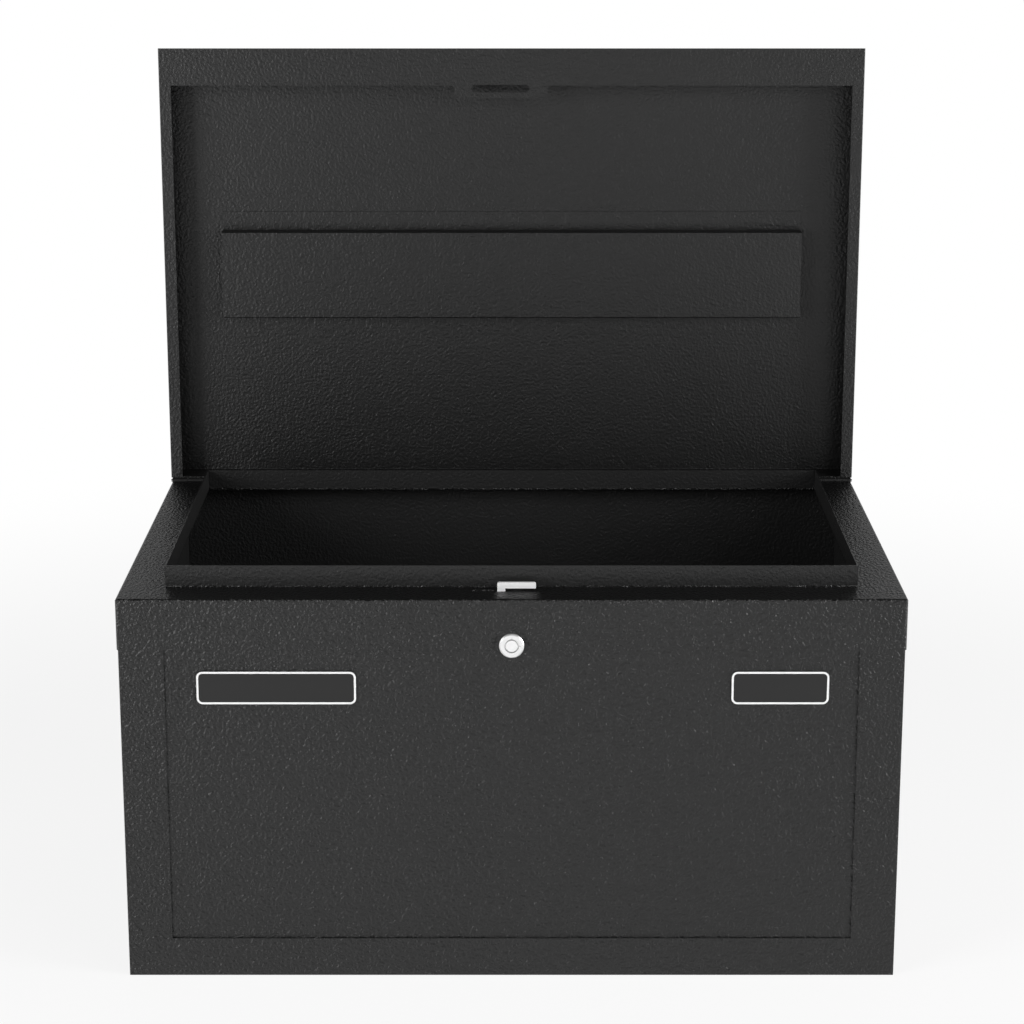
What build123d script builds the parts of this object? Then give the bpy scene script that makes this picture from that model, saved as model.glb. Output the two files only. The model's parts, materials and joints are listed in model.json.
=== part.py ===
from build123d import *
import math
import os

os.makedirs("parts", exist_ok=True)

# Steel storage chest with its lid open at ninety degrees, in millimetres.
# X runs left to right, Y front to back and Z up, from the middle of the footprint.

# Body
body_width = 660.0          # over the collar
body_depth = 404.0
body_height = 337.2         # floor to ledge
sheet = 1.2                 # steel of the body and the lid
bend = 2.0                  # outside radius of a fold
tight_bend = 0.8            # the same at the feet and the rim of the lid
crease = 0.2                # inside radius of the sharpest folds
collar_height = 44.2
collar_corner = 2.5         # radius of its upright corners
post_width = 37.8
bottom_rail = 34.0
side_ledge = 38.0
front_ledge = 37.0
rear_ledge = 30.0
lip_height = 18.8
seam_flange = 12.0          # flanges that carry the spot welds
foot_flange = 14.0          # edges folded under the body
seam_gap = 1.0
panel_overlap = 25.0        # front panel hidden behind the top rail
base_flange = 20.0
wall_gap = 13.8             # outside of the body to the inner liner
liner_sheet = 1.0
liner_top_gap = 6.0
liner_foot = 8.0

# Hinge
leaf_sheet = 1.2
leaf_width = 20.0
pin_diameter = 3.0
pin_clearance = 0.05
pin_overhang = 1.0
axis_rise = 0.5             # hinge axis above the ledge
knuckle_count = 15
end_knuckle = 15.2          # the first and the last knuckle are cut short
knuckle_gap = 0.35

# Lid
lid_overhang = 1.0          # lid beyond the body at each side
lid_length = 413.3
lid_height = 30.0
lid_nose = 28.0             # rolled front edge
rim_gap = 0.8               # closed rim above the ledge
front_rim = 34.4
side_rim = 11.0
tab_width = 88.0
tab_length = 11.8           # tab beyond the front rim
tab_center = -9.8
tab_radius = 7.5
tab_slot_length = 54.6
tab_slot_width = 7.0
tab_slot_center = -10.6
tab_slot_offset = 1.8       # middle of the slot behind the middle of the hook, lid closed
stiffener_length = 555.0
stiffener_height = 118.6
stiffener_face = 83.2
stiffener_depth = 16.0
stiffener_sheet = 1.0
stiffener_start = 137.4     # its lower edge from the rear of the lid

# Lid stops on the back
stop_spacing = 500.0
stop_sheet = 2.5
stop_foot = 16.0
stop_height = 20.0
stop_start = 1.5            # foot above the lower edge of the collar
stop_reach = 24.3           # back of the body to the land
stop_land = 5.0
stop_neck = 12.0            # inner corner below the land
stop_tip = 10.0             # thickness of the arm at its end
stop_clearance = 0.3

# Lock
lock_drop = 40.4            # lock axis below the ledge
notch_radius = 15.0
bezel_diameter = 20.8
bezel_height = 2.6
bezel_chamfer = 0.9
barrel_diameter = 17.0
barrel_flats = 14.5
barrel_clearance = 0.1
barrel_length = 18.6        # outer face of the front panel to the cam
plug_diameter = 12.0
plug_clearance = 0.05
plug_recess = 0.4
key_post = 9.8              # the key fits round this post
key_depth = 3.0
key_notch_width = 1.2       # notches in the bezel that index the key
key_notch_end = 7.6
key_notch_depth = 0.8
nut_width = 22.0
nut_height = 3.5
tail_square = 7.0
cam_sheet = 2.0
cam_gap = 0.3
cam_width = 12.0
crank_radius = 14.14
crank_pin = 4.0

# Hook slide
hook_travel = 20.0
hook_sheet = 2.8
hook_inset = 24.7           # front face of the hook behind the front of the body
hook_left = -12.0
hook_right = 20.5
hook_leg = 6.8
hook_height = 7.5           # top of the claw above the ledge
hook_throat = 2.3           # underside of the claw above the ledge
hook_round = 1.7
slide_left = -48.0
slide_right = 38.0
slide_gap = 0.5             # slide to the underside of the ledge
slide_edge = 2.4            # metal left below the drive slot
pin_play = 0.5              # side play of the crank pin in the drive slot
slot_left = -33.4           # latch slot in the front ledge
slot_right = 13.0
slot_width = 5.6
stud_diameter = 5.0
stud_play = 0.2
stud_head = 9.0
stud_head_height = 1.5
stud_drop = 12.0            # studs below the underside of the ledge
stud_places = (-40.0, 9.0)
stud_gap = 0.3
guard_left = -72.0
guard_right = 52.0
guard_drop = 74.0
guard_gap = 0.8             # slide to the guard
guard_foot = 12.0

# Faces and lines that the pieces share
half_width = body_width / 2
skin_half = half_width - sheet
front = -body_depth / 2
back = body_depth / 2
panel_outer = front + sheet
panel_inner = panel_outer + sheet
skin_back = back - sheet
flange_inner = skin_back - 2 * sheet
collar_bottom = body_height - collar_height
ledge_under = body_height - sheet
wall_top = body_height - bend
flange_end = skin_half - seam_flange
foot_half = skin_half - foot_flange - seam_gap
foot_front = front + foot_flange
foot_back = skin_back - foot_flange
liner_half = skin_half - wall_gap
lip_half = half_width - side_ledge
lip_front = front + front_ledge
lip_back = back - rear_ledge

leaf_face = pin_diameter / 2 + pin_clearance
knuckle_radius = leaf_face + leaf_sheet
axis_y = back + knuckle_radius
axis_z = body_height + axis_rise

# The open lid stands on end: its length runs up and its height runs back.
lid_width = body_width + 2 * lid_overhang
rim_y = axis_y + rim_gap - axis_rise
lid_top = rim_y + lid_height
lid_inner = lid_top - sheet
lid_rear = axis_z + knuckle_radius
lid_front = lid_rear + lid_length

lock_z = body_height - lock_drop
hook_y = front + hook_inset
guard_y = hook_y + hook_sheet + guard_gap
cam_front = panel_outer + barrel_length + cam_gap
cam_back = cam_front + cam_sheet
crank_throw = crank_radius * math.sin(math.radians(45))


def folded_strip(plane, points, thickness, side, length, radius=bend):
    # Sheet folded along the points, centred on the plane.
    with BuildPart() as strip:
        with BuildSketch(plane):
            with BuildLine():
                FilletPolyline(*points, radius=radius)
                offset(amount=thickness, side=side)
            make_face()
        extrude(amount=length / 2, both=True)
    return strip.part


def export_piece(piece, name):
    piece.part.label = name
    export_step(piece.part, f"parts/{name}.step")


def export_pair(left_part, name):
    # A left-hand piece and its mirror image.
    for side in ("left", "right"):
        with BuildPart() as piece:
            add(left_part if side == "left" else mirror(left_part, about=Plane.YZ))
        export_piece(piece, f"{name}_{side}")


# Top rails: collar, ledge and lip in one set of folds, mitred where they meet
lip_top = body_height + lip_height
mitre_out = 0.3
mitre_in = 1.0
frame_bottom = collar_bottom - 1
frame_height = collar_height + lip_height + 2
out_x = half_width + mitre_out * side_ledge
out_front = front - mitre_out * front_ledge
out_back = back + mitre_out * rear_ledge
in_x = lip_half - mitre_in * side_ledge
in_front = lip_front + mitre_in * front_ledge
in_back = lip_back - mitre_in * rear_ledge


def top_rail(plane, ledge, length, corners):
    # On the plane, X points from the outside of the collar into the body.
    fold = ((0, collar_bottom), (0, body_height), (ledge, body_height), (ledge, lip_top))
    with BuildPart() as rail:
        add(folded_strip(plane, fold, sheet, Side.RIGHT, length, (bend, crease)))
        with BuildSketch(Plane.XY.offset(frame_bottom)):
            with BuildLine():
                Polyline(*corners, close=True)
            make_face()
        extrude(amount=frame_height, mode=Mode.INTERSECT)
        with BuildSketch(Plane.XY.offset(frame_bottom)):
            RectangleRounded(body_width, body_depth, collar_corner)
        extrude(amount=frame_height, mode=Mode.INTERSECT)
    return rail.part


# Front frame: top rail, posts and bottom rail in one sheet, folded back to ledge and lip
front_corners = ((-out_x, out_front), (out_x, out_front), (in_x, in_front), (-in_x, in_front))
front_fold = ((front, collar_bottom), (front, 0), (foot_front, 0))
opening_half = skin_half - post_width
front_plane = Plane(origin=(0, front, 0), x_dir=(0, 1, 0), z_dir=(1, 0, 0))
with BuildPart() as front_frame:
    add(folded_strip(Plane.YZ, front_fold, sheet, Side.LEFT, 2 * skin_half, tight_bend))
    with BuildSketch(Plane.XY):
        RectangleRounded(2 * skin_half, body_depth, tight_bend)
    extrude(amount=collar_bottom, mode=Mode.INTERSECT)
    add(top_rail(front_plane, front_ledge, body_width, front_corners))
    with BuildSketch(Plane.XY):
        for end in (-1, 1):
            with Locations((end * (foot_half + foot_flange), panel_outer + foot_flange / 2)):
                Rectangle(2 * foot_flange, foot_flange)
    extrude(amount=bend, mode=Mode.SUBTRACT)
    with BuildSketch(Plane.XZ.offset(-panel_outer)):
        with Locations((0, (bottom_rail + collar_bottom) / 2)):
            Rectangle(2 * opening_half, collar_bottom - bottom_rail)
        with Locations((0, lock_z)):
            Circle(notch_radius)
        with Locations((0, (lock_z + collar_bottom) / 2)):
            Rectangle(2 * notch_radius, lock_z - collar_bottom)
    extrude(amount=2 * sheet, mode=Mode.SUBTRACT)
    with BuildSketch(Plane.XY.offset(ledge_under)):
        with Locations(((slot_left + slot_right) / 2, hook_y + hook_sheet / 2)):
            SlotOverall(slot_right - slot_left, slot_width)
    extrude(amount=sheet, mode=Mode.SUBTRACT)
export_piece(front_frame, "front_frame")

# Rear rail: collar, ledge and lip
rear_corners = ((-out_x, out_back), (out_x, out_back), (in_x, in_back), (-in_x, in_back))
rear_plane = Plane(origin=(0, back, 0), x_dir=(0, -1, 0), z_dir=(-1, 0, 0))
with BuildPart() as rear_rail:
    add(top_rail(rear_plane, rear_ledge, body_width, rear_corners))
export_piece(rear_rail, "rear_rail")

# Side rails: collar over the side panel, ledge and lip
side_corners = ((-out_x, out_front), (-in_x, in_front), (-in_x, in_back), (-out_x, out_back))
side_plane = Plane(origin=(-half_width, 0, 0), x_dir=(1, 0, 0), z_dir=(0, -1, 0))
export_pair(top_rail(side_plane, side_ledge, body_depth, side_corners), "side_rail")

# Side panels: outer skins with weld flanges front and back and an edge folded under
skin_fold = (
    (-flange_end, panel_outer),
    (-skin_half, panel_outer),
    (-skin_half, skin_back - sheet),
    (-flange_end, skin_back - sheet),
)
foot_fold = ((-skin_half, 2 * bend), (-skin_half, 0), (foot_flange - skin_half, 0))
foot_run = 2 * (foot_back - seam_gap)
with BuildPart() as side_panel:
    with BuildSketch(Plane.XY.offset(bend)):
        with BuildLine():
            FilletPolyline(*skin_fold, radius=bend)
            offset(amount=sheet, side=Side.RIGHT)
        make_face()
    extrude(amount=wall_top - bend)
    add(folded_strip(Plane.XZ, foot_fold, sheet, Side.LEFT, foot_run, tight_bend))
export_pair(side_panel.part, "side_panel")

# Side liners: inner skins of the double walls, resting on the base pan
base_floor = 2 * sheet
liner_top = ledge_under - liner_top_gap
liner_start = panel_inner + bend
liner_end = flange_inner - bend
liner_fold = (
    (-liner_half - liner_sheet - liner_foot, base_floor),
    (-liner_half, base_floor),
    (-liner_half, liner_top),
    (sheet - skin_half, liner_top),
)
liner_plane = Plane.XZ.offset(-(liner_start + liner_end) / 2)
with BuildPart() as side_liner:
    add(folded_strip(liner_plane, liner_fold, liner_sheet, Side.LEFT, liner_end - liner_start))
export_pair(side_liner.part, "side_liner")

# Back panel, its lower edge folded under
back_half = skin_half - seam_gap
back_fold = ((skin_back, wall_top), (skin_back, 0), (foot_back, 0))
with BuildPart() as back_panel:
    add(folded_strip(Plane.YZ, back_fold, sheet, Side.RIGHT, 2 * back_half, tight_bend))
    with BuildSketch(Plane.XY):
        for end in (-1, 1):
            with Locations((end * (foot_half + foot_flange), skin_back - sheet - foot_flange / 2)):
                Rectangle(2 * foot_flange, foot_flange)
    extrude(amount=bend, mode=Mode.SUBTRACT)
export_piece(back_panel, "back_panel")

# Front panel: recessed sheet behind the frame, with the flatted hole of the lock
panel_bottom = 2 * bend
panel_top = collar_bottom + panel_overlap
panel_half = flange_end - seam_gap
with BuildPart() as front_panel:
    with BuildSketch(Plane.XZ.offset(-panel_inner)):
        with Locations((0, (panel_bottom + panel_top) / 2)):
            Rectangle(2 * panel_half, panel_top - panel_bottom)
    extrude(amount=sheet)
    with BuildSketch(Plane.XZ.offset(-panel_inner)):
        with Locations((0, lock_z)):
            Circle(barrel_diameter / 2 + barrel_clearance)
            Rectangle(barrel_flats + 2 * barrel_clearance, 2 * barrel_diameter, mode=Mode.INTERSECT)
    extrude(amount=sheet, mode=Mode.SUBTRACT)
export_piece(front_panel, "front_panel")

# Base pan: flanges up inside the walls, floor pressed down level with the folded edges
base_half = skin_half - sheet
base_middle = (panel_inner + flange_inner) / 2
dish_front = foot_front + seam_gap
dish_back = foot_back - seam_gap
dish_middle = (dish_front + dish_back) / 2
pan_depth = flange_inner - panel_inner
pan_top = sheet + base_flange
cross_plane = Plane.XZ.offset(-base_middle)
cross_fold = ((-base_half, pan_top), (-base_half, sheet), (base_half, sheet), (base_half, pan_top))
long_fold = ((panel_inner, pan_top), (panel_inner, sheet), (flange_inner, sheet), (flange_inner, pan_top))
with BuildPart() as base_pan:
    add(folded_strip(cross_plane, cross_fold, sheet, Side.LEFT, pan_depth - 2 * bend))
    add(folded_strip(Plane.YZ, long_fold, sheet, Side.LEFT, 2 * (base_half - bend)))
    with BuildSketch(Plane.XY):
        with Locations((0, dish_middle)):
            Rectangle(2 * foot_half, dish_back - dish_front)
    extrude(amount=sheet)
    with BuildSketch(Plane.XY.offset(sheet)):
        with Locations((0, dish_middle)):
            Rectangle(2 * (foot_half - sheet), dish_back - dish_front - 2 * sheet)
    extrude(amount=sheet, mode=Mode.SUBTRACT)
export_piece(base_pan, "base_pan")

# Latch guard: hat-shaped bracket behind the front panel that carries the slide
guard_bottom = ledge_under - guard_drop
guard_fold = (
    (guard_left - guard_foot, panel_inner),
    (guard_left, panel_inner),
    (guard_left, guard_y),
    (guard_right, guard_y),
    (guard_right, panel_inner),
    (guard_right + guard_foot, panel_inner),
)
stud_z = ledge_under - stud_drop
stud_centers = [(x, stud_z) for x in stud_places]
with BuildPart() as latch_guard:
    with BuildSketch(Plane.XY.offset(guard_bottom)):
        with BuildLine():
            FilletPolyline(*guard_fold, radius=bend)
            offset(amount=sheet, side=Side.LEFT)
        make_face()
    extrude(amount=guard_drop)
    with BuildSketch(Plane.XZ.offset(-panel_inner)):
        for end in (guard_left - sheet - guard_foot, guard_right + sheet + guard_foot):
            with Locations((end, ledge_under)):
                Rectangle(2 * guard_foot, 2 * (ledge_under - panel_top))
    extrude(amount=-bend, mode=Mode.SUBTRACT)
export_piece(latch_guard, "latch_guard")

# Guide studs: shouldered studs welded to the guard, which hold the slide and let it run
with BuildPart() as guide_studs:
    with BuildSketch(Plane.XZ.offset(-guard_y)):
        with Locations(*stud_centers):
            Circle(stud_diameter / 2)
    extrude(amount=guard_gap + hook_sheet + stud_gap)
    with BuildSketch(Plane.XZ.offset(stud_gap - hook_y)):
        with Locations(*stud_centers):
            Circle(stud_head / 2)
    extrude(amount=stud_head_height)
export_piece(guide_studs, "guide_studs")

# Hook slide: flat bar behind the front panel, its claw standing up through the ledge
slide_top = ledge_under - slide_gap
pin_low = lock_z + crank_throw
pin_high = lock_z + crank_radius
drive_radius = crank_pin / 2 + pin_play
slide_bottom = pin_low - drive_radius - slide_edge
claw_under = body_height + hook_throat
claw_top = body_height + hook_height
guide_places = [(x + hook_travel / 2, stud_z) for x in stud_places]
with BuildPart() as hook_slide:
    with BuildSketch(Plane.XZ.offset(-hook_y)) as slide_face:
        with Locations(((slide_left + slide_right) / 2, (slide_bottom + slide_top) / 2)):
            Rectangle(slide_right - slide_left, slide_top - slide_bottom)
        fillet(slide_face.vertices(), radius=bend)
        with Locations((hook_left + hook_leg / 2, (slide_top + claw_under) / 2)):
            Rectangle(hook_leg, claw_under - slide_top)
        with Locations(((hook_left + hook_right) / 2, (claw_under + claw_top) / 2)):
            Rectangle(hook_right - hook_left, claw_top - claw_under)
        fillet(slide_face.vertices().group_by(Axis.Y)[-1], radius=hook_round)
        with Locations((crank_throw, (pin_low + pin_high) / 2)):
            SlotCenterToCenter(pin_high - pin_low, 2 * drive_radius, rotation=90, mode=Mode.SUBTRACT)
        with Locations(*guide_places):
            SlotCenterToCenter(hook_travel, stud_diameter + 2 * stud_play, mode=Mode.SUBTRACT)
    extrude(amount=-hook_sheet)
export_piece(hook_slide, "hook_slide")

# Lock housing: round bezel in the notch, flatted barrel through the front panel
bezel_face = panel_outer - bezel_height
with BuildPart() as lock_housing:
    with BuildSketch(Plane.XZ.offset(-panel_outer)):
        with Locations((0, lock_z)):
            Circle(bezel_diameter / 2)
    extrude(amount=bezel_height)
    chamfer(lock_housing.faces().sort_by(Axis.Y)[0].edges(), length=bezel_chamfer)
    with BuildSketch(Plane.XZ.offset(-panel_outer)):
        with Locations((0, lock_z)):
            Circle(barrel_diameter / 2)
            Rectangle(barrel_flats, 2 * barrel_diameter, mode=Mode.INTERSECT)
    extrude(amount=-barrel_length)
    with BuildSketch(Plane.XZ.offset(-bezel_face)):
        with Locations((0, lock_z)):
            Circle(plug_diameter / 2 + plug_clearance)
    extrude(amount=-bezel_height - barrel_length, mode=Mode.SUBTRACT)
    with BuildSketch(Plane.XZ.offset(-bezel_face)):
        with Locations((0, lock_z + key_notch_end / 2)):
            Rectangle(key_notch_width, key_notch_end)
        with Locations((key_notch_end / 2, lock_z)):
            Rectangle(key_notch_end, key_notch_width / 2)
    extrude(amount=-key_notch_depth, mode=Mode.SUBTRACT)
export_piece(lock_housing, "lock_housing")

# Lock nut
with BuildPart() as lock_nut:
    with BuildSketch(Plane.XZ.offset(-panel_inner)):
        with Locations((0, lock_z)):
            RegularPolygon(nut_width / 2, 6, major_radius=False)
            Circle(barrel_diameter / 2, mode=Mode.SUBTRACT)
    extrude(amount=-nut_height)
export_piece(lock_nut, "lock_nut")

# Lock plug: turned cylinder with a post for the tubular key and a square tail for the cam
plug_face = bezel_face + plug_recess
with BuildPart() as lock_plug:
    with BuildSketch(Plane.XZ.offset(-plug_face)):
        with Locations((0, lock_z)):
            Circle(key_post / 2)
    extrude(amount=-key_depth)
    with BuildSketch(Plane.XZ.offset(-plug_face - key_depth)):
        with Locations((0, lock_z)):
            Circle(plug_diameter / 2)
    extrude(amount=plug_face + key_depth - cam_front)
    with BuildSketch(Plane.XZ.offset(-cam_front)):
        with Locations((0, lock_z)):
            Rectangle(tail_square, tail_square)
    extrude(amount=-cam_sheet)
export_piece(lock_plug, "lock_plug")

# Lock cam: crank arm on the tail of the plug, whose pin drives the slide
with BuildPart() as lock_cam:
    with BuildSketch(Plane.XZ.offset(-cam_front)):
        with Locations((crank_throw / 2, lock_z + crank_throw / 2)):
            SlotCenterToCenter(crank_radius, cam_width, rotation=45)
        with Locations((0, lock_z)):
            Rectangle(tail_square, tail_square, mode=Mode.SUBTRACT)
    extrude(amount=-cam_sheet)
    with BuildSketch(Plane.XZ.offset(-cam_back)):
        with Locations((crank_throw, lock_z + crank_throw)):
            Circle(crank_pin / 2)
    extrude(amount=cam_back + stud_gap - guard_y)
export_piece(lock_cam, "lock_cam")


def hinge_leaf(plane, first):
    # On the plane, X points from the pin to the sheet and Y runs along the leaf.
    leaf_start = knuckle_radius + knuckle_gap
    leaf_middle = leaf_face + leaf_sheet / 2
    pitch = (body_width - 2 * end_knuckle) / (knuckle_count - 2)
    joints = [-half_width] + [end_knuckle - half_width + i * pitch for i in range(knuckle_count - 1)]
    joints.append(half_width)
    with BuildPart() as leaf:
        with BuildSketch(plane):
            with Locations((leaf_middle, (leaf_start + leaf_width) / 2)):
                Rectangle(leaf_sheet, leaf_width - leaf_start)
        extrude(amount=half_width, both=True)
        for i in range(first, knuckle_count, 2):
            length = joints[i + 1] - joints[i] - knuckle_gap
            with BuildSketch(plane.offset((joints[i] + joints[i + 1]) / 2)):
                Circle(knuckle_radius)
                with Locations((leaf_middle, leaf_start / 2)):
                    Rectangle(leaf_sheet, leaf_start)
                Circle(leaf_face, mode=Mode.SUBTRACT)
            extrude(amount=length / 2, both=True)
    return leaf.part


# Continuous hinge: two leaves with alternate knuckles on one pin
body_leaf_plane = Plane(origin=(0, axis_y, axis_z), x_dir=(0, -1, 0), z_dir=(1, 0, 0))
with BuildPart() as hinge_leaf_body:
    add(hinge_leaf(body_leaf_plane, 0))
export_piece(hinge_leaf_body, "hinge_leaf_body")

lid_leaf_plane = Plane(origin=(0, axis_y, axis_z), x_dir=(0, 0, 1), z_dir=(-1, 0, 0))
with BuildPart() as hinge_leaf_lid:
    add(hinge_leaf(lid_leaf_plane, 1))
export_piece(hinge_leaf_lid, "hinge_leaf_lid")

with BuildPart() as hinge_pin:
    with BuildSketch(Plane.YZ):
        with Locations((axis_y, axis_z)):
            Circle(pin_diameter / 2)
    extrude(amount=half_width + pin_overhang, both=True)
export_piece(hinge_pin, "hinge_pin")

# Lid shell: shallow folded pan with a rolled front edge, a rim turned in at the front and
# sides, and a slotted tab
window_top = lid_front - front_rim
lid_fold = ((rim_y, lid_rear), (lid_top, lid_rear), (lid_top, lid_front), (rim_y, lid_front), (rim_y, window_top))
lid_radii = (bend, lid_nose, tight_bend)
tab_slot_z = axis_z + axis_y - hook_y - hook_sheet / 2 - tab_slot_offset
with BuildPart() as lid_shell:
    add(folded_strip(Plane.YZ, lid_fold, sheet, Side.LEFT, lid_width, lid_radii))
    for end in (-1, 1):
        with BuildSketch(Plane.YZ.offset(end * lid_width / 2)):
            with BuildLine():
                FilletPolyline(*lid_fold, radius=lid_radii)
                Line(lid_fold[-1], lid_fold[0])
            make_face()
        extrude(amount=-end * sheet)
    with BuildSketch(Plane.XZ.offset(-rim_y)):
        for end in (-1, 1):
            with Locations((end * (lid_width - side_rim) / 2, (lid_rear + window_top) / 2)):
                Rectangle(side_rim, window_top - lid_rear)
        with Locations((tab_center, window_top)):
            RectangleRounded(tab_width, 2 * tab_length, tab_radius)
    extrude(amount=-sheet)
    with BuildSketch(Plane.XZ.offset(-rim_y)):
        with Locations((tab_slot_center, tab_slot_z)):
            SlotOverall(tab_slot_length, tab_slot_width)
    extrude(amount=-sheet, mode=Mode.SUBTRACT)
    with BuildSketch(Plane.XY.offset(lid_rear)) as section:
        with Locations((0, (rim_y + lid_top) / 2)):
            Rectangle(lid_width, lid_height)
        corners = section.vertices().group_by(Axis.Y)
        fillet(corners[0], radius=tight_bend)
        fillet(corners[1], radius=bend)
    extrude(amount=lid_length, mode=Mode.INTERSECT)
export_piece(lid_shell, "lid_shell")

# Lid stiffener: hat channel welded across the inside of the lid
hat_low = lid_rear + stiffener_start
hat_high = hat_low + stiffener_height
hat_flange = (stiffener_height - stiffener_face) / 2 + stiffener_sheet
hat_back = lid_inner - stiffener_depth + stiffener_sheet
hat_fold = (
    (lid_inner, hat_low),
    (lid_inner, hat_low + hat_flange),
    (hat_back, hat_low + hat_flange),
    (hat_back, hat_high - hat_flange),
    (lid_inner, hat_high - hat_flange),
    (lid_inner, hat_high),
)
with BuildPart() as lid_stiffener:
    add(folded_strip(Plane.YZ, hat_fold, stiffener_sheet, Side.LEFT, stiffener_length, crease))
export_piece(lid_stiffener, "lid_stiffener")

# Lid stops: angle brackets on the back that catch the open lid
stop_bottom = collar_bottom + stop_start
stop_top = lid_rear - stop_clearance
stop_y = back + stop_reach
stop_outline = (
    (back, stop_bottom),
    (back, stop_bottom + stop_height),
    (back + stop_reach / 2, stop_top - stop_neck),
    (stop_y, stop_top - stop_sheet),
    (stop_y, stop_top),
    (stop_y + stop_land, stop_top),
    (stop_y + stop_land, stop_top - stop_tip),
    (back + stop_land, stop_bottom),
)
with BuildPart() as lid_stops:
    for end in (-1, 1):
        with BuildSketch(Plane.YZ.offset(end * stop_spacing / 2)):
            with BuildLine():
                Polyline(*stop_outline, close=True)
            make_face()
        extrude(amount=end * stop_sheet)
        with BuildSketch(Plane.XZ.offset(-back)):
            with Locations((end * (stop_spacing + stop_foot) / 2, stop_bottom + stop_height / 2)):
                Rectangle(stop_foot, stop_height)
        extrude(amount=-stop_sheet)
export_piece(lid_stops, "lid_stops")
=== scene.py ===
import math

import bmesh
import bpy
from mathutils import Matrix, Vector
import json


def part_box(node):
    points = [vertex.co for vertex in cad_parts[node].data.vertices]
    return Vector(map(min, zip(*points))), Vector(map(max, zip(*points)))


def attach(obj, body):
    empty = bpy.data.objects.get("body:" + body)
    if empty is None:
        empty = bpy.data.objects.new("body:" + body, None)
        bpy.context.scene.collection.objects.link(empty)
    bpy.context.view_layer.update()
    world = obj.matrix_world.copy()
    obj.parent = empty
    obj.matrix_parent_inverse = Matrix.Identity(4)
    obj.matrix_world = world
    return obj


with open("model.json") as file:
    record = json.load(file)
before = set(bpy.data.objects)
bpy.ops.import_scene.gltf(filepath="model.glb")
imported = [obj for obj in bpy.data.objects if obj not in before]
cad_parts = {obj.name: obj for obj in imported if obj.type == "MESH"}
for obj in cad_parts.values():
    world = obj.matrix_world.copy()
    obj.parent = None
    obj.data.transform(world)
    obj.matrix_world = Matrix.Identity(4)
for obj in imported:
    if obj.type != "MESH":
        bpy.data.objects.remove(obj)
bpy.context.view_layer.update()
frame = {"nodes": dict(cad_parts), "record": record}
print("frame loaded:", len(frame["nodes"]), "nodes")

# Camera, placed as the photograph was taken
cameraView = {
    "lens": 97.04,                      # mm on a 36 mm sensor
    "place": (0.0, -2.4019, 0.988),
    "tilt": 75.335,                     # degrees from straight down
    "shift": 0.0004,
}


def placeCamera(look):
    lens = bpy.data.cameras.new("photoCamera")
    lens.lens = look["lens"]
    lens.sensor_width = 36.0
    lens.shift_x = look["shift"]
    camera = bpy.data.objects.new("photoCamera", lens)
    camera.location = look["place"]
    camera.rotation_euler = (math.radians(look["tilt"]), 0.0, 0.0)
    bpy.context.scene.collection.objects.link(camera)
    bpy.context.scene.camera = camera


placeCamera(cameraView)
bpy.context.scene.view_settings.view_transform = "Standard"
print("camera placed")

# Studio: a pale floor, a bright backdrop low behind the chest, and soft lamps in front
studioLight = {
    "backdrop": 0.61,                   # brightness of the dome low down behind the chest
    "backdropFrom": 0.35,               # it starts this far back on the unit dome
    "backdropFull": 0.75,
    "backdropTop": 0.40,                # and fades out between these two heights
    "backdropEnd": 0.60,
    "dusk": 0.065,                      # brightness of the rest of the dome
    "floorSize": 60.0,
    "floorColour": 0.88,
    "floorWhite": 0.85,                 # share of the floor that is plain white to the eye and in the gloss
    "whiteFrom": 0.7,                   # metres from the middle where that share starts to rise
    "whiteTo": 1.7,                     # and where the floor is all white
}
lamps = {                               # square soft boxes, all aimed at one point
    "leftBox": {"place": (-2.3, -1.8, 1.0), "size": 1.6, "watts": 75.0},
    "rightBox": {"place": (2.8, -1.1, 0.9), "size": 1.3, "watts": 98.0},
    "rightHigh": {"place": (1.7, -2.2, 1.7), "size": 1.4, "watts": 16.0},
}
aimPoint = Vector((0.0, 0.0, 0.35))


def mathNode(tree, operation, first, second=None):
    node = tree.nodes.new("ShaderNodeMath")
    node.operation = operation
    for socket, value in zip(node.inputs, (first, second)):
        if value is None:
            continue
        if isinstance(value, (int, float)):
            socket.default_value = value
        else:
            tree.links.new(value, socket)
    return node.outputs[0]


def rampNode(tree, value, fromLow, fromHigh, toLow, toHigh):
    node = tree.nodes.new("ShaderNodeMapRange")
    node.interpolation_type = "SMOOTHSTEP"
    limits = {"From Min": fromLow, "From Max": fromHigh, "To Min": toLow, "To Max": toHigh}
    for label, number in limits.items():
        node.inputs[label].default_value = number
    tree.links.new(value, node.inputs["Value"])
    return node.outputs["Result"]


def seenRays(tree, alsoGloss):
    # 1 for what the camera sees, also through glass and, where asked, in a reflection
    rays = tree.nodes.new("ShaderNodeLightPath")
    seen = mathNode(tree, "MAXIMUM", rays.outputs["Is Camera Ray"], rays.outputs["Is Transmission Ray"])
    return mathNode(tree, "MAXIMUM", seen, rays.outputs["Is Glossy Ray"]) if alsoGloss else seen


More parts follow.
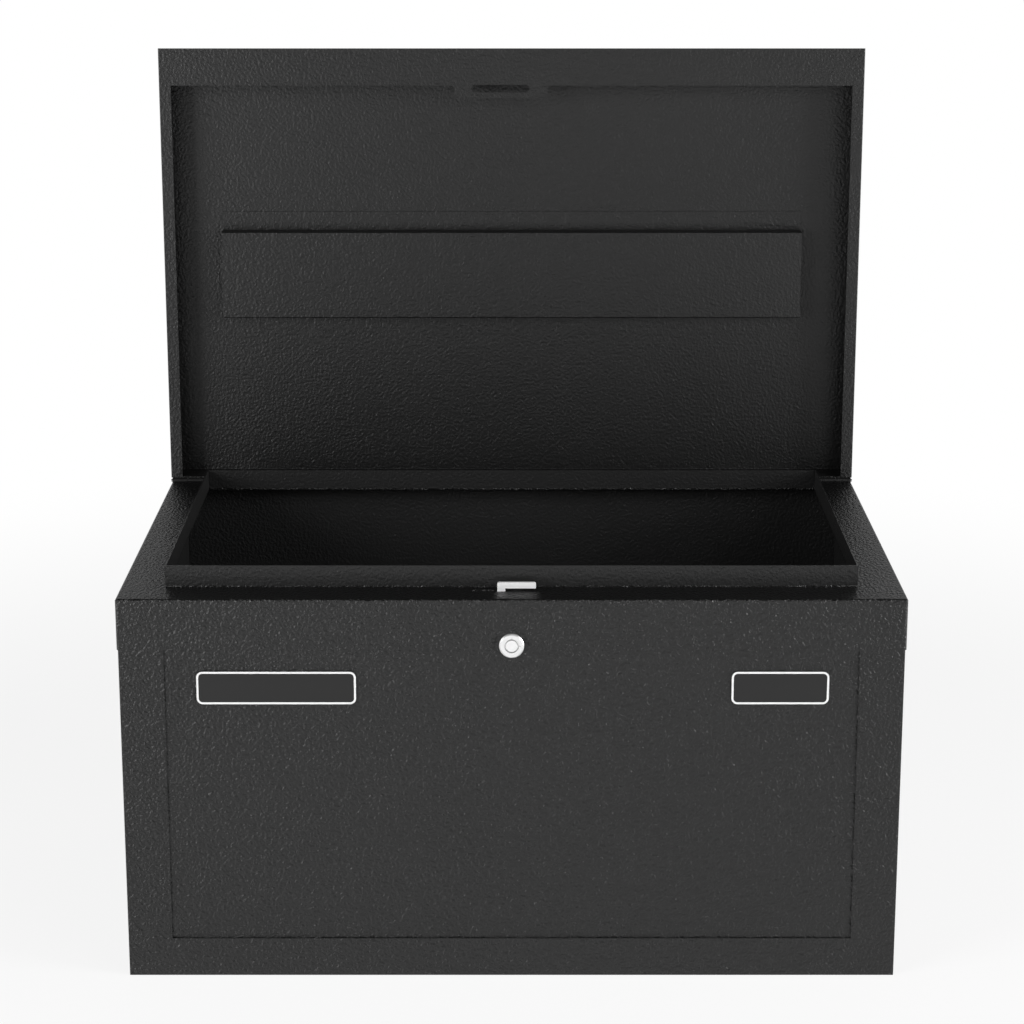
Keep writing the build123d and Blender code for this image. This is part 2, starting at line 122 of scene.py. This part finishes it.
def buildDome(look):
    world = bpy.data.worlds.new("studioDome")
    bpy.context.scene.world = world
    world.use_nodes = True
    tree = world.node_tree
    tree.nodes.clear()
    place = tree.nodes.new("ShaderNodeTexCoord")
    parts = tree.nodes.new("ShaderNodeSeparateXYZ")
    tree.links.new(place.outputs["Generated"], parts.inputs[0])
    behind = rampNode(tree, parts.outputs["Y"], look["backdropFrom"], look["backdropFull"], 0.0, 1.0)
    low = rampNode(tree, parts.outputs["Z"], look["backdropTop"], look["backdropEnd"], 1.0, 0.0)
    glow = mathNode(tree, "MULTIPLY", mathNode(tree, "MULTIPLY", behind, low), look["backdrop"])
    strength = tree.nodes.new("ShaderNodeMix")
    strength.data_type = "FLOAT"
    tree.links.new(seenRays(tree, False), strength.inputs["Factor"])
    tree.links.new(mathNode(tree, "ADD", glow, look["dusk"]), strength.inputs["A"])
    strength.inputs["B"].default_value = 1.0
    dome = tree.nodes.new("ShaderNodeBackground")
    dome.inputs["Color"].default_value = (1.0, 1.0, 1.0, 1.0)
    tree.links.new(strength.outputs["Result"], dome.inputs["Strength"])
    out = tree.nodes.new("ShaderNodeOutputWorld")
    tree.links.new(dome.outputs[0], out.inputs[0])


def buildFloor(look):
    shape = bmesh.new()
    bmesh.ops.create_grid(shape, x_segments=1, y_segments=1, size=look["floorSize"] / 2)
    mesh = bpy.data.meshes.new("studioFloor")
    shape.to_mesh(mesh)
    shape.free()
    floor = bpy.data.objects.new("studioFloor", mesh)
    bpy.context.scene.collection.objects.link(floor)
    paint = bpy.data.materials.new("paleFloor")
    paint.use_nodes = True
    tree = paint.node_tree
    tree.nodes.clear()
    matt = tree.nodes.new("ShaderNodeBsdfDiffuse")
    matt.inputs["Color"].default_value = (look["floorColour"],) * 3 + (1.0,)
    white = tree.nodes.new("ShaderNodeEmission")
    place = tree.nodes.new("ShaderNodeTexCoord")
    reach = tree.nodes.new("ShaderNodeVectorMath")
    reach.operation = "LENGTH"
    tree.links.new(place.outputs["Object"], reach.inputs[0])
    share = rampNode(tree, reach.outputs["Value"], look["whiteFrom"], look["whiteTo"],
                     look["floorWhite"], 1.0)
    both = tree.nodes.new("ShaderNodeMixShader")
    tree.links.new(mathNode(tree, "MULTIPLY", share, seenRays(tree, True)), both.inputs[0])
    tree.links.new(matt.outputs[0], both.inputs[1])
    tree.links.new(white.outputs[0], both.inputs[2])
    out = tree.nodes.new("ShaderNodeOutputMaterial")
    tree.links.new(both.outputs[0], out.inputs["Surface"])
    mesh.materials.append(paint)


def hangLamps(lampSet):
    for name, look in lampSet.items():
        light = bpy.data.lights.new(name, "AREA")
        light.size = look["size"]
        light.energy = look["watts"]
        lamp = bpy.data.objects.new(name, light)
        lamp.location = look["place"]
        lamp.rotation_euler = (aimPoint - Vector(look["place"])).to_track_quat("-Z", "Y").to_euler()
        bpy.context.scene.collection.objects.link(lamp)


buildDome(studioLight)
buildFloor(studioLight)
hangLamps(lamps)
print("studio lit")


# Shared effects of the finishes
def newGroup(name, inputs, outputs):
    group = bpy.data.node_groups.new(name, "ShaderNodeTree")
    for label, value in inputs.items():
        kind = "NodeSocketColor" if isinstance(value, tuple) and len(value) == 4 else "NodeSocketFloat"
        socket = group.interface.new_socket(label, in_out="INPUT", socket_type=kind)
        socket.default_value = value
    for label, kind in outputs.items():
        group.interface.new_socket(label, in_out="OUTPUT", socket_type=kind)
    return group, group.nodes.new("NodeGroupInput"), group.nodes.new("NodeGroupOutput")


def noiseNode(tree, coordinates, scale, detail=2.0, roughness=0.5):
    node = tree.nodes.new("ShaderNodeTexNoise")
    node.inputs["Detail"].default_value = detail
    node.inputs["Roughness"].default_value = roughness
    tree.links.new(coordinates, node.inputs["Vector"])
    if isinstance(scale, (int, float)):
        node.inputs["Scale"].default_value = scale
    else:
        tree.links.new(scale, node.inputs["Scale"])
    return node.outputs["Fac"]


def mixValue(tree, factor, low, high):
    node = tree.nodes.new("ShaderNodeMapRange")
    tree.links.new(factor, node.inputs["Value"])
    for label, value in (("To Min", low), ("To Max", high)):
        if isinstance(value, (int, float)):
            node.inputs[label].default_value = value
        else:
            tree.links.new(value, node.inputs[label])
    return node.outputs["Result"]


def mixColour(tree, factor, first, second):
    node = tree.nodes.new("ShaderNodeMix")
    node.data_type = "RGBA"
    firstColour, secondColour, mixedColour = 6, 7, 2      # its colour sockets, by number
    tree.links.new(factor, node.inputs["Factor"])
    tree.links.new(first, node.inputs[firstColour])
    tree.links.new(second, node.inputs[secondColour])
    return node.outputs[mixedColour]


def grey(value):
    return value, value, value, 1.0


def makeCoatGroup():
    # powder coat: orange peel with fine grain, a calmer bump over a given height with a lighter tint there
    # that is painted light, and slow patches of gloss
    group, given, out = newGroup(
        "powderCoat",
        {"Dark": grey(0.003), "Light": grey(0.006), "Peel Scale": 380.0, "Grain Scale": 1500.0,
         "Grain Share": 0.25, "Smooth": 0.36, "Rough": 0.46, "Patch Scale": 9.0,
         "Calm And Painted Light Above": 10.0, "Calm Share": 1.0, "Painted Light Tint": grey(0.008)},
        {"Colour": "NodeSocketColor", "Roughness": "NodeSocketFloat", "Height": "NodeSocketFloat"},
    )
    where = group.nodes.new("ShaderNodeTexCoord").outputs["Object"]
    peel = noiseNode(group, where, given.outputs["Peel Scale"], 1.5)
    grain = noiseNode(group, where, given.outputs["Grain Scale"], 2.0)
    patch = noiseNode(group, where, given.outputs["Patch Scale"], 3.0, 0.6)
    height = mathNode(group, "ADD", peel, mathNode(group, "MULTIPLY", grain, given.outputs["Grain Share"]))
    parts = group.nodes.new("ShaderNodeSeparateXYZ")
    group.links.new(where, parts.inputs[0])
    calmAndLitZone = mathNode(group, "GREATER_THAN", parts.outputs["Z"], given.outputs["Calm And Painted Light Above"])
    height = mathNode(group, "MULTIPLY", height, mixValue(group, calmAndLitZone, 1.0, given.outputs["Calm Share"]))
    tint = mixColour(group, patch, given.outputs["Dark"], given.outputs["Light"])
    # over the given height the coat's colour gives way to a lighter tint: painted light
    colour = mixColour(group, calmAndLitZone, tint, given.outputs["Painted Light Tint"])
    gloss = mixValue(group, patch, given.outputs["Smooth"], given.outputs["Rough"])
    group.links.new(colour, out.inputs["Colour"])
    group.links.new(gloss, out.inputs["Roughness"])
    group.links.new(height, out.inputs["Height"])
    return group


def makeMetalGroup():
    # plated metal: fine drawn grain, faint stains
    group, given, out = newGroup(
        "platedMetal",
        {"Clean": grey(0.8), "Stained": grey(0.6), "Grain Scale": 900.0, "Stretch": 0.05,
         "Smooth": 0.12, "Rough": 0.25, "Stain Scale": 60.0},
        {"Colour": "NodeSocketColor", "Roughness": "NodeSocketFloat", "Height": "NodeSocketFloat"},
    )
    where = group.nodes.new("ShaderNodeTexCoord").outputs["Object"]
    squeeze = group.nodes.new("ShaderNodeVectorMath")
    squeeze.operation = "MULTIPLY"
    ratios = group.nodes.new("ShaderNodeCombineXYZ")
    group.links.new(given.outputs["Stretch"], ratios.inputs["X"])
    ratios.inputs["Y"].default_value = 1.0
    ratios.inputs["Z"].default_value = 1.0
    group.links.new(where, squeeze.inputs[0])
    group.links.new(ratios.outputs[0], squeeze.inputs[1])
    grain = noiseNode(group, squeeze.outputs[0], given.outputs["Grain Scale"], 3.0)
    stain = noiseNode(group, where, given.outputs["Stain Scale"], 4.0, 0.6)
    colour = mixColour(group, stain, given.outputs["Clean"], given.outputs["Stained"])
    gloss = mixValue(group, grain, given.outputs["Smooth"], given.outputs["Rough"])
    group.links.new(colour, out.inputs["Colour"])
    group.links.new(gloss, out.inputs["Roughness"])
    group.links.new(grain, out.inputs["Height"])
    return group


coatGroup = makeCoatGroup()
metalGroup = makeMetalGroup()
print("shared effects made")


def makeFinish(name, group, values, bumpHeight, metallic=0.0):
    finish = bpy.data.materials.new(name)
    finish.use_nodes = True
    tree = finish.node_tree
    shader = tree.nodes["Principled BSDF"]
    shader.inputs["Metallic"].default_value = metallic
    effect = tree.nodes.new("ShaderNodeGroup")
    effect.node_tree = group
    for label, value in values.items():
        effect.inputs[label].default_value = value
    bump = tree.nodes.new("ShaderNodeBump")
    bump.inputs["Strength"].default_value = 1.0
    bump.inputs["Distance"].default_value = bumpHeight
    tree.links.new(effect.outputs["Colour"], shader.inputs["Base Color"])
    tree.links.new(effect.outputs["Roughness"], shader.inputs["Roughness"])
    tree.links.new(effect.outputs["Height"], bump.inputs["Height"])
    tree.links.new(bump.outputs["Normal"], shader.inputs["Normal"])
    return finish


# Finishes: colours, scales per metre, and roughness between Smooth and Rough
blackCoat = {"Dark": grey(0.0012), "Light": grey(0.0020), "Peel Scale": 380.0, "Grain Scale": 1300.0,
             "Grain Share": 0.2, "Smooth": 0.40, "Rough": 0.44, "Patch Scale": 9.0}
lidPaint = blackCoat
# the inside is the same black coat, painted lighter: painted light
insidePaintedLight = {**blackCoat, "Dark": grey(0.0080), "Light": grey(0.0100)}
wallPaint = {**blackCoat, "Smooth": 0.37, "Rough": 0.41,
             "Calm And Painted Light Above": 0.3385, "Calm Share": 0.35, "Painted Light Tint": grey(0.009)}     # lips over the ledges: calmer bump, and a lighter tint that is painted light
hingePaint = {"Dark": grey(0.0040), "Light": grey(0.0070), "Peel Scale": 600.0, "Grain Scale": 1800.0,
              "Grain Share": 0.2, "Smooth": 0.32, "Rough": 0.40, "Patch Scale": 20.0}
hookPlate = {"Clean": grey(0.94), "Stained": grey(0.86), "Grain Scale": 900.0, "Stretch": 0.08,
             "Smooth": 0.34, "Rough": 0.46, "Stain Scale": 90.0}
lockPlate = {"Clean": grey(0.86), "Stained": grey(0.80), "Grain Scale": 1500.0, "Stretch": 1.0,
             "Smooth": 0.30, "Rough": 0.38, "Stain Scale": 160.0}
plugPlate = {"Clean": grey(0.90), "Stained": grey(0.84), "Grain Scale": 1500.0, "Stretch": 1.0,
             "Smooth": 0.30, "Rough": 0.40, "Stain Scale": 160.0}
zincPlate = {"Clean": (0.72, 0.72, 0.70, 1.0), "Stained": (0.60, 0.60, 0.57, 1.0), "Grain Scale": 1100.0,
             "Stretch": 0.1, "Smooth": 0.25, "Rough": 0.42, "Stain Scale": 80.0}
pinWire = {"Clean": grey(0.62), "Stained": grey(0.48), "Grain Scale": 2500.0, "Stretch": 0.02,
           "Smooth": 0.25, "Rough": 0.38, "Stain Scale": 60.0}

finishes = {                            # with the height of the bump in metres
    "body_paint": makeFinish("wallPaint", coatGroup, wallPaint, 0.00155),
    "inner_paint": makeFinish("insidePaintedLight", coatGroup, insidePaintedLight, 0.00070),
    "lid_paint": makeFinish("lidPaint", coatGroup, lidPaint, 0.00070),
    "hinge_paint": makeFinish("hingePaint", coatGroup, hingePaint, 0.00003),
    "hook_zinc": makeFinish("hookPlate", metalGroup, hookPlate, 0.00001, metallic=0.35),
    "lock_chrome": makeFinish("lockPlate", metalGroup, lockPlate, 0.000004, metallic=0.7),
    "plug_chrome": makeFinish("plugPlate", metalGroup, plugPlate, 0.000004, metallic=0.7),
    "zinc_plate": makeFinish("zincPlate", metalGroup, zincPlate, 0.00001, metallic=1.0),
    "pin_steel": makeFinish("pinWire", metalGroup, pinWire, 0.000005, metallic=1.0),
}
slotOf = {part["node"]: part["material_slot"] for part in frame["record"]["subparts"]}
calmLitPanels = {"back_panel": "inner_paint"}                # smoother coat, painted lighter as painted light, seen inside the chest
for name, node in frame["nodes"].items():
    node.data.materials.clear()
    node.data.materials.append(finishes[calmLitPanels.get(name, slotOf[name])])
print("finishes given to", len(slotOf), "nodes")


# Helpers of the new pieces
def placeShape(name, shape, body, turn, place, skins):
    # turn and place the mesh, not the object
    bmesh.ops.recalc_face_normals(shape, faces=shape.faces[:])
    bmesh.ops.transform(shape, matrix=Matrix.Translation(place) @ turn, verts=shape.verts[:])
    mesh = bpy.data.meshes.new(name)
    shape.to_mesh(mesh)
    shape.free()
    for skin in skins:
        mesh.materials.append(skin)
    piece = bpy.data.objects.new(name, mesh)
    bpy.context.scene.collection.objects.link(piece)
    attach(piece, body)
    return piece


def rimEdges(shape, level):
    # edges of the outline that lie at this height
    closeEnough = 1e-7
    return [edge for edge in shape.edges if all(abs(v.co.z - level) < closeEnough for v in edge.verts)]


def vertsOf(parts):
    return [part for part in parts if isinstance(part, bmesh.types.BMVert)]


def moveFaces(shape, faces, rise):
    # raise or sink faces with walls round them, and leave nothing behind
    moved = bmesh.ops.extrude_face_region(shape, geom=faces)["geom"]
    bmesh.ops.delete(shape, geom=faces, context="FACES_KEEP_BOUNDARY")
    bmesh.ops.translate(shape, vec=(0, 0, rise), verts=vertsOf(moved))


facingFront = Matrix.Rotation(math.radians(90), 4, "X")      # a shape's +Z becomes -Y
facingBack = Matrix.Rotation(math.radians(-90), 4, "X")
facingDown = Matrix.Rotation(math.radians(180), 4, "X")

# Badges: bare plates with a raised white line, stuck on the front panel
badgeShape = {
    "places": {"badgeLeft": (-0.2645, -0.1300), "badgeRight": (0.1840, 0.2664)},     # left and right ends
    "low": 0.2451,
    "high": 0.2744,
    "thick": 0.0009,
    "corner": 0.0055,
    "cornerSteps": 8,
    "edge": 0.0002,                     # rounded edge of the plate
    "edgeSteps": 2,
    "margin": 0.0002,                   # dark strip outside the line
    "line": 0.0017,
    "lineRise": 0.00012,
}
badgePaint = {"Dark": grey(0.0020), "Light": grey(0.0030), "Peel Scale": 500.0, "Grain Scale": 2200.0,
              "Grain Share": 0.3, "Smooth": 0.40, "Rough": 0.46, "Patch Scale": 30.0}
badgeInk = {"Dark": grey(0.72), "Light": grey(0.78), "Peel Scale": 700.0, "Grain Scale": 2600.0,
            "Grain Share": 0.3, "Smooth": 0.34, "Rough": 0.42, "Patch Scale": 60.0}
badgeSkins = [makeFinish("badgePaint", coatGroup, badgePaint, 0.00002),
              makeFinish("badgeInk", coatGroup, badgeInk, 0.00001)]


def makeBadge(name, left, right, look):
    shape = bmesh.new()
    bmesh.ops.create_grid(shape, x_segments=1, y_segments=1, size=0.5)
    bmesh.ops.scale(shape, vec=(right - left, look["high"] - look["low"], 1.0), verts=shape.verts[:])
    bmesh.ops.bevel(shape, geom=shape.verts[:], offset=look["corner"], affect="VERTICES",
                    segments=look["cornerSteps"], profile=0.5, material=-1)
    raised = bmesh.ops.extrude_face_region(shape, geom=shape.faces[:], use_keep_orig=True)["geom"]
    bmesh.ops.translate(shape, vec=(0, 0, look["thick"]), verts=vertsOf(raised))
    bmesh.ops.bevel(shape, geom=rimEdges(shape, look["thick"]), offset=look["edge"], affect="EDGES",
                    segments=look["edgeSteps"], profile=0.5, material=-1)
    face = max(shape.faces, key=lambda f: (f.calc_center_median().z, f.calc_area()))
    bmesh.ops.inset_region(shape, faces=[face], thickness=look["margin"], use_even_offset=True)
    ring = bmesh.ops.inset_region(shape, faces=[face], thickness=look["line"], use_even_offset=True)
    for part in ring["faces"]:
        part.material_index = 1
    moveFaces(shape, ring["faces"], look["lineRise"])
    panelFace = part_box("front_panel")[0][1]
    middle = Vector(((left + right) / 2, panelFace, (look["low"] + look["high"]) / 2))
    placeShape(name, shape, "chest", facingFront, middle, badgeSkins)


for name, (left, right) in badgeShape["places"].items():
    makeBadge(name, left, right, badgeShape)
print("badges made:", len(badgeShape["places"]))

# Rivets of the hinge: domed heads on both leaves
rivetShape = {
    "radius": 0.00375,
    "rise": 0.0011,                     # of the dome
    "foot": 0.0003,                     # straight edge under it
    "domeSteps": 6,
    "turnSteps": 24,
    "pitch": 0.100,
    "count": 7,
    "inset": 0.0075,                    # from the edge of a leaf
    "leaf": 0.0012,                     # sheet of the leaves
}


def makeRivets(name, body, turn, place, look):
    # place is Y and Z of the row, on the face that carries it
    radius, rise, foot = look["radius"], look["rise"], look["foot"]
    ball = (radius * radius + rise * rise) / (2 * rise)
    shape = bmesh.new()
    for i in range(look["count"]):
        across = (i - (look["count"] - 1) / 2) * look["pitch"]
        crown = shape.verts.new((across, 0, foot + rise))
        arc = bmesh.ops.spin(shape, geom=[crown], cent=(across, 0, foot + rise - ball), axis=(0, 1, 0),
                             angle=math.asin(radius / ball), steps=look["domeSteps"])["geom_last"]
        down = bmesh.ops.extrude_vert_indiv(shape, verts=vertsOf(arc))
        bmesh.ops.translate(shape, vec=(0, 0, -foot), verts=down["verts"])
        profile = [edge for edge in shape.edges if edge.is_wire]
        profile += [vert for vert in shape.verts if any(edge.is_wire for edge in vert.link_edges)]
        bmesh.ops.spin(shape, geom=profile, cent=(across, 0, 0), axis=(0, 0, 1), angle=math.tau,
                       steps=look["turnSteps"], use_merge=True)
    bmesh.ops.remove_doubles(shape, verts=shape.verts[:], dist=0.000005)
    bmesh.ops.holes_fill(shape, edges=[edge for edge in shape.edges if edge.is_boundary], sides=0)
    for face in shape.faces:
        face.smooth = len(face.verts) < 5                 # all but the flat foot
    rivets = placeShape(name, shape, body, turn, Vector((0, *place)), [finishes["hinge_paint"]])


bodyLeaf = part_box("hinge_leaf_body")[0]                 # its front lower corner
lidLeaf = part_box("hinge_leaf_lid")[1]                   # its rear upper corner
bodyPlace = (bodyLeaf[1] + rivetShape["leaf"], bodyLeaf[2] + rivetShape["inset"])
lidPlace = (lidLeaf[1] - rivetShape["inset"], lidLeaf[2] - rivetShape["leaf"])
makeRivets("rivetsBody", "chest", facingBack, bodyPlace, rivetShape)
makeRivets("rivetsLid", "lid", facingDown, lidPlace, rivetShape)
print("rivets made:", 2 * rivetShape["count"])

# Screw that holds the cam on the plug
screwShape = {
    "radius": 0.0045,
    "height": 0.0010,
    "edge": 0.0003,
    "edgeSteps": 3,
    "turnSteps": 32,
    "slotWidth": 0.0011,
    "slotDepth": 0.0006,
}


def makeScrew(name, body, look):
    shape = bmesh.new()
    bmesh.ops.create_cone(shape, cap_ends=True, segments=look["turnSteps"], radius1=look["radius"],
                          radius2=look["radius"], depth=look["height"])
    bmesh.ops.translate(shape, vec=(0, 0, look["height"] / 2), verts=shape.verts[:])
    bmesh.ops.bevel(shape, geom=rimEdges(shape, look["height"]), offset=look["edge"], affect="EDGES",
                    segments=look["edgeSteps"], profile=0.5, material=-1)
    for side in (-1, 1):
        bmesh.ops.bisect_plane(shape, geom=shape.verts[:] + shape.edges[:] + shape.faces[:],
                               plane_co=(0, side * look["slotWidth"] / 2, 0), plane_no=(0, 1, 0))
    almostTop = look["height"] * 0.999
    middles = {face: face.calc_center_median() for face in shape.faces}
    slot = [face for face, middle in middles.items()
            if middle.z > almostTop and abs(middle.y) < look["slotWidth"] / 4]
    moveFaces(shape, slot, -look["slotDepth"])
    low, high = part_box("lock_plug")
    plugEnd = Vector((0.0, high[1], (low[2] + high[2]) / 2))
    screw = placeShape(name, shape, body, facingBack, plugEnd, [finishes["zinc_plate"]])


makeScrew("camScrew", "lock", screwShape)
print("screw made")
